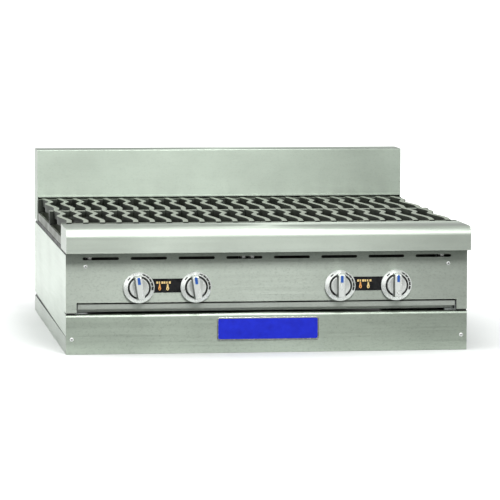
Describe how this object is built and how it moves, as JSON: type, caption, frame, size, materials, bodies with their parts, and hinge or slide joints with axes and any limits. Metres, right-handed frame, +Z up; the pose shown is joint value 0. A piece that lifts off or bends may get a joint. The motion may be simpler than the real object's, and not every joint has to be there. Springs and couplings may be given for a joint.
{
  "type": "countertop gas charbroiler",
  "caption": "Stainless countertop gas charbroiler with wavy cast-iron grates over radiants and U-shaped burners, front knobs, landing ledge, backguard and sliding drip tray.",
  "frame": {"origin": "centre of the footprint on the surface it stands on", "axes": "+X to the user's right, +Y to the back, +Z up"},
  "size_m": [0.9174, 0.9652, 0.4064],
  "materials": {
    "brushed_stainless": "brushed satin stainless sheet",
    "tray_stainless": "brushed satin stainless sheet",
    "black_painted_steel": "matt black paint",
    "galvanized_sheet": "spangled zinc",
    "aluminized_sheet": "dull heat-tinted steel",
    "rail_steel": "dull mill-finish steel",
    "cast_iron_grate": "seasoned cast iron",
    "radiant_sheet": "heat-tinted steel",
    "burner_steel": "dull steel tube",
    "black_pipe": "black iron pipe",
    "cast_aluminium": "sand-cast",
    "brass": "machined",
    "tube_aluminium": "drawn tube",
    "knob_metal": "satin die-cast",
    "stem_steel": "bright plated steel",
    "label_black": "printed gloss label",
    "badge_blue": "blue enamel"
  },
  "bodies": {
    "chassis": {"air_shutters": "burner_steel", "back_panel": "galvanized_sheet", "backguard_rear_cover": "galvanized_sheet", "backguard_shell": "brushed_stainless", "badge_plate": "badge_blue", "base_frame": "brushed_stainless", "burner_1": "burner_steel", "burner_2": "burner_steel", "burner_3": "burner_steel", "burner_4": "burner_steel", "burner_labels": "label_black", "burner_rear_support": "aluminized_sheet", "chassis_frame": "black_painted_steel", "control_panel": "brushed_stainless", "firebox": "aluminized_sheet", "gas_inlet_pipe": "black_pipe", "gas_manifold": "black_pipe", "gas_supply_pipe": "black_pipe", "gas_valves": "brass", "grate_beam_front": "rail_steel", "grate_beam_middle": "rail_steel", "grate_beam_rear": "rail_steel", "grate_rail_left": "rail_steel", "grate_rail_right": "rail_steel", "landing_ledge": "brushed_stainless", "ledge_end_cap_left": "brushed_stainless", "ledge_end_cap_right": "brushed_stainless", "lower_front_panel": "brushed_stainless", "orifice_hoods": "brass", "panel_screws": "stem_steel", "pilot_burners": "burner_steel", "pilot_tubes": "tube_aluminium", "pilot_valves": "brass", "radiant_1": "radiant_sheet", "radiant_2": "radiant_sheet", "radiant_3": "radiant_sheet", "radiant_4": "radiant_sheet", "rear_screws": "stem_steel", "regulator": "cast_aluminium", "side_panel_left": "brushed_stainless", "side_panel_right": "brushed_stainless", "tray_runner_left": "galvanized_sheet", "tray_runner_right": "galvanized_sheet"},
    "drip_tray": {"drip_tray": "tray_stainless"},
    "knob_1": {"knob_1": "knob_metal", "valve_stem_1": "stem_steel"},
    "knob_2": {"knob_2": "knob_metal", "valve_stem_2": "stem_steel"},
    "knob_3": {"knob_3": "knob_metal", "valve_stem_3": "stem_steel"},
    "knob_4": {"knob_4": "knob_metal", "valve_stem_4": "stem_steel"},
    "grate_1": {"grate_1": "cast_iron_grate"},
    "grate_2": {"grate_2": "cast_iron_grate"},
    "grate_3": {"grate_3": "cast_iron_grate"},
    "grate_4": {"grate_4": "cast_iron_grate"},
    "grate_5": {"grate_5": "cast_iron_grate"},
    "grate_6": {"grate_6": "cast_iron_grate"},
    "grate_7": {"grate_7": "cast_iron_grate"},
    "grate_8": {"grate_8": "cast_iron_grate"}
  },
  "joints": [
    {"name": "knob_turn_1", "type": "hinge", "parent": "chassis", "child": "knob_1", "pos_m": [-0.2931, -0.4506, 0.15], "axis": [0, -1, 0], "range_deg": [0, 120]},
    {"name": "knob_turn_2", "type": "hinge", "parent": "chassis", "child": "knob_2", "pos_m": [-0.1641, -0.4506, 0.15], "axis": [0, -1, 0], "range_deg": [0, 120]},
    {"name": "knob_turn_3", "type": "hinge", "parent": "chassis", "child": "knob_3", "pos_m": [0.1641, -0.4506, 0.15], "axis": [0, -1, 0], "range_deg": [0, 120]},
    {"name": "knob_turn_4", "type": "hinge", "parent": "chassis", "child": "knob_4", "pos_m": [0.2931, -0.4506, 0.15], "axis": [0, -1, 0], "range_deg": [0, 120]},
    {"name": "tray_pull", "type": "slide", "parent": "chassis", "child": "drip_tray", "axis": [0, -1, 0], "range_m": [0, 0.6]},
    {"name": "grate_lift_1", "type": "slide", "parent": "chassis", "child": "grate_1", "axis": [0, 0, 1], "range_m": [0, 0.15]},
    {"name": "grate_lift_2", "type": "slide", "parent": "chassis", "child": "grate_2", "axis": [0, 0, 1], "range_m": [0, 0.15]},
    {"name": "grate_lift_3", "type": "slide", "parent": "chassis", "child": "grate_3", "axis": [0, 0, 1], "range_m": [0, 0.15]},
    {"name": "grate_lift_4", "type": "slide", "parent": "chassis", "child": "grate_4", "axis": [0, 0, 1], "range_m": [0, 0.15]},
    {"name": "grate_lift_5", "type": "slide", "parent": "chassis", "child": "grate_5", "axis": [0, 0, 1], "range_m": [0, 0.15]},
    {"name": "grate_lift_6", "type": "slide", "parent": "chassis", "child": "grate_6", "axis": [0, 0, 1], "range_m": [0, 0.15]},
    {"name": "grate_lift_7", "type": "slide", "parent": "chassis", "child": "grate_7", "axis": [0, 0, 1], "range_m": [0, 0.15]},
    {"name": "grate_lift_8", "type": "slide", "parent": "chassis", "child": "grate_8", "axis": [0, 0, 1], "range_m": [0, 0.15]}
  ]
}
